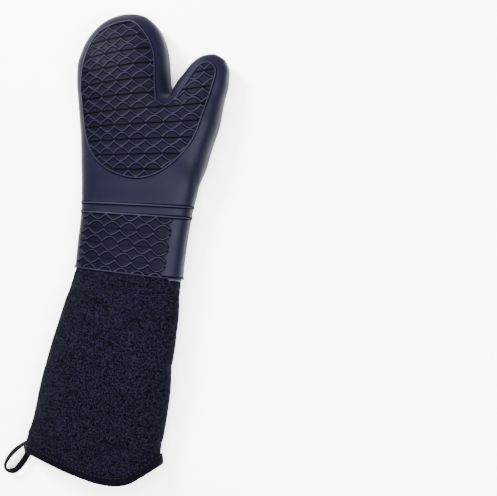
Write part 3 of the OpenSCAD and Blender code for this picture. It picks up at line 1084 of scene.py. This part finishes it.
def cotton_material(name, dark, light, twill=620.0, sheen=0.1, nap=1.0):
    k = Nodes(name)
    twills = k.wave(twill / 20, k.mapping((20, 20, 20), 0.72), 0.6)
    cross = k.wave(twill / 20, k.mapping((20, 20, 20), -0.85), 0.6)
    weave = k.math("ADD", k.math("MULTIPLY", twills, 0.7), k.math("MULTIPLY", cross, 0.3))
    fuzz = k.noise(1100, 3, rough=0.65)
    fleck = k.noise(560, 1, rough=0.6)
    patch = k.noise(38, 4, rough=0.6)
    tone = k.math("ADD", k.math("MULTIPLY", weave, 0.15),
                  k.math("ADD", k.math("MULTIPLY", fleck, 0.8 * nap), k.math("MULTIPLY", patch, 0.1)))
    color = k.ramp(tone, ((0.46, dark), (0.66, light)))
    lint = k.ramp(k.noise(520, 2), ((0.66, (0, 0, 0)), (0.76, (0.3, 0.3, 0.3))))
    color = k.mix(lint, color, tuple(min(1.0, 2.2 * c) for c in light) + (1,))
    rough = k.range(fuzz, 0.82, 0.98)
    normal = k.bump(weave, 0.00022, 0.6)
    normal = k.bump(fuzz, 0.0003, 0.5 * nap, normal)
    normal = k.bump(fleck, 0.0005, 0.6 * nap, normal)
    normal = k.bump(k.noise(90, 3), 0.0007, 0.35, normal)
    return k.finish(color, rough, normal, Sheen_Weight=sheen, Sheen_Roughness=0.45,
                    Sheen_Tint=(0.62, 0.62, 0.85, 1), Specular_IOR_Level=0.018)


def thread_material():
    k = Nodes("thread")
    twist = k.wave(70, k.mapping((40, 40, 40), 0.6), 0.4)
    color = k.ramp(k.math("ADD", k.math("MULTIPLY", twist, 0.6), k.math("MULTIPLY", k.noise(800, 2), 0.4)),
                   ((0.25, (0.001, 0.001, 0.002)), (0.8, (0.0045, 0.0045, 0.009))))
    return k.finish(color, k.range(k.noise(700, 1), 0.45, 0.65), k.bump(twist, 0.0001, 0.7),
                    Sheen_Weight=0.01, Specular_IOR_Level=0.05)


def floor_material():
    k = Nodes("floor")
    color = k.ramp(k.noise(6, 2), ((0.3, (0.86, 0.86, 0.87)), (0.7, (0.88, 0.88, 0.885))))
    return k.finish(color, k.range(k.noise(20, 2), 0.75, 0.85), k.bump(k.noise(300, 2), 0.0001, 0.1))


# ---- camera, floor and light

def aim(ob, place, target, roll=0.0):
    forward = (Vector(target) - Vector(place)).normalized()
    right = forward.cross(Vector((0, 1, 0))).normalized()
    above = right.cross(forward)
    c, s = np.cos(roll), np.sin(roll)
    r2, u2 = right * c + above * s, above * c - right * s
    m = Matrix((r2, u2, -forward)).transposed().to_4x4()
    m.translation = Vector(place)
    ob.matrix_world = m


# The photo's camera, what it looks at, its roll in degrees, and how wide its view is there
CAMERA, TARGET, ROLL, VIEW_WIDTH = (0.459, 0.008, 1.215), (0.161, 0.008, 0.0), 2.8, 0.583975
SENSOR, FLOOR_REACH = 36, 4.0
LIGHTS = (   # name, place, diameter, power
    ("key", (-0.9, 1.1, 1.25), 0.6, 210), ("fill", (1.1, -0.2, 1.5), 0.9, 140),
    ("top", (0.1, 0.2, 2.3), 2.2, 220))


def stage():
    cam = add_object("camera", bpy.data.cameras.new("camera"))
    aim(cam, CAMERA, TARGET, roll=np.radians(ROLL))
    cam.data.sensor_width = SENSOR
    cam.data.lens = SENSOR * (Vector(TARGET) - Vector(CAMERA)).length / VIEW_WIDTH
    cam.data.clip_end = 20
    bpy.context.scene.camera = cam

    me = bpy.data.meshes.new("floor")
    r = FLOOR_REACH
    me.from_pydata([(-r, -r, 0), (r, -r, 0), (r, r, 0), (-r, r, 0)], [], [(0, 1, 2, 3)])
    floor = add_object("floor", me)
    me.materials.append(floor_material())

    for name, place, size, power in LIGHTS:
        data = bpy.data.lights.new(name, "AREA")
        data.shape = "DISK"
        data.size = size
        data.energy = power
        aim(add_object(name, data), place, (0, 0, 0))
    world = bpy.data.worlds.new("studio")
    world.use_nodes = True
    sky = world.node_tree.nodes["Background"].inputs
    sky["Color"].default_value = (0.93, 0.95, 1, 1)
    sky["Strength"].default_value = 0.35
    bpy.context.scene.world = world


# ---- putting it together

stage()

silicone = silicone_material()
fabric = cotton_material("cuff_cotton", (0.0, 0.0, 0.0003), (0.0036, 0.0033, 0.0078), sheen=0.002)
tape = cotton_material("binding_tape", (0.0003, 0.0003, 0.0010), (0.0048, 0.0046, 0.0096), 800.0, 0.008, 0.7)
lining_cloth = cotton_material("lining_cotton", (0.012, 0.012, 0.018), (0.035, 0.035, 0.045), 500.0, 0.2, 0.8)
thread = thread_material()


def dress(ob, material):
    ob.data.materials.clear()
    ob.data.materials.append(material)


palm, fingers, thumb = silicone_pieces()
for ob in (palm, fingers, thumb):
    dress(ob, silicone)
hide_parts("silicone_shell_palm")
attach(palm, "palm")
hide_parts("silicone_shell_fingertips")
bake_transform(fingers)
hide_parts("silicone_shell_thumb_tip")
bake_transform(thumb)

liner_palm, liner_fingers, liner_thumb = liner_pieces()
for ob in (liner_palm, liner_fingers, liner_thumb):
    dress(ob, lining_cloth)
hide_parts("palm_liner_front", "palm_liner_back")
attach(liner_palm, "palm")
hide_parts("fingertip_liner_front", "fingertip_liner_back")
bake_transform(liner_fingers)
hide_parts("thumb_tip_liner_front", "thumb_tip_liner_back")
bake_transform(liner_thumb)

cuff, cuff_lining = cuff_pieces()
dress(cuff, fabric)
dress(cuff_lining, lining_cloth)
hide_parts("cuff_front_panel", "cuff_back_panel", "cuff_front_wadding", "cuff_back_wadding")
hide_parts("cuff_front_lining", "cuff_back_lining")
for ob in (cuff, cuff_lining):
    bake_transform(ob)

hem, stitches = hem_piece(), stitch_piece()
dress(hem, tape)
dress(stitches, thread)
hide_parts("hem_binding")
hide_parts("hem_stitches")
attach(hem, "cuff")
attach(stitches, "cuff")

loop = loop_piece()
dress(loop, tape)
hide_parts("hanging_loop")
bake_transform(loop)

tack = tack_piece()
dress(tack, thread)
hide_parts("loop_bar_tack")
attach(tack, "cuff")
